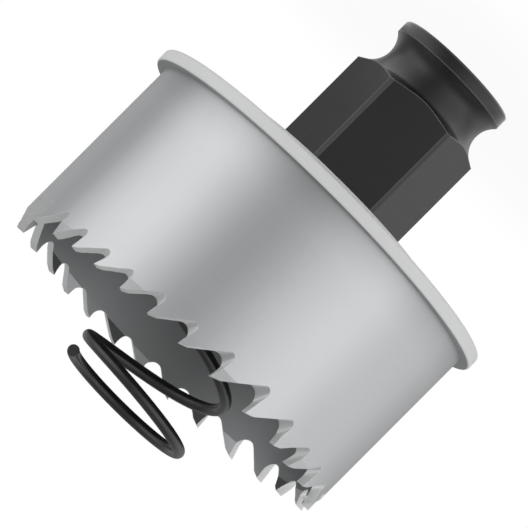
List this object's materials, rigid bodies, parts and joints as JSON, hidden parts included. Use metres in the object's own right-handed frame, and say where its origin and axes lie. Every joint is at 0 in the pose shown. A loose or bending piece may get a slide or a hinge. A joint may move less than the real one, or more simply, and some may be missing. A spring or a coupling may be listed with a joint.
{
  "type": "hole saw",
  "caption": "Toothed steel cup welded to a round back plate, with a black quick-change hexagon hub behind it and a black coil spring inside that pushes out the cut core.",
  "frame": {"origin": "centre of the hub's end face, on the axis of rotation", "axes": "+Z along the axis of rotation from the hub to the teeth, with one flat of the hexagon facing -Y"},
  "size_m": [0.0592, 0.0592, 0.0647],
  "materials": {
    "cup_steel": "satin bare steel",
    "plate_steel": "satin bare steel",
    "black_steel": "black oxide, satin",
    "spring_wire": "black oiled spring wire"
  },
  "bodies": {
    "root": {"saw_cup": "cup_steel", "back_plate": "plate_steel", "hex_hub": "black_steel", "ejector_spring": "spring_wire"}
  },
  "joints": []
}
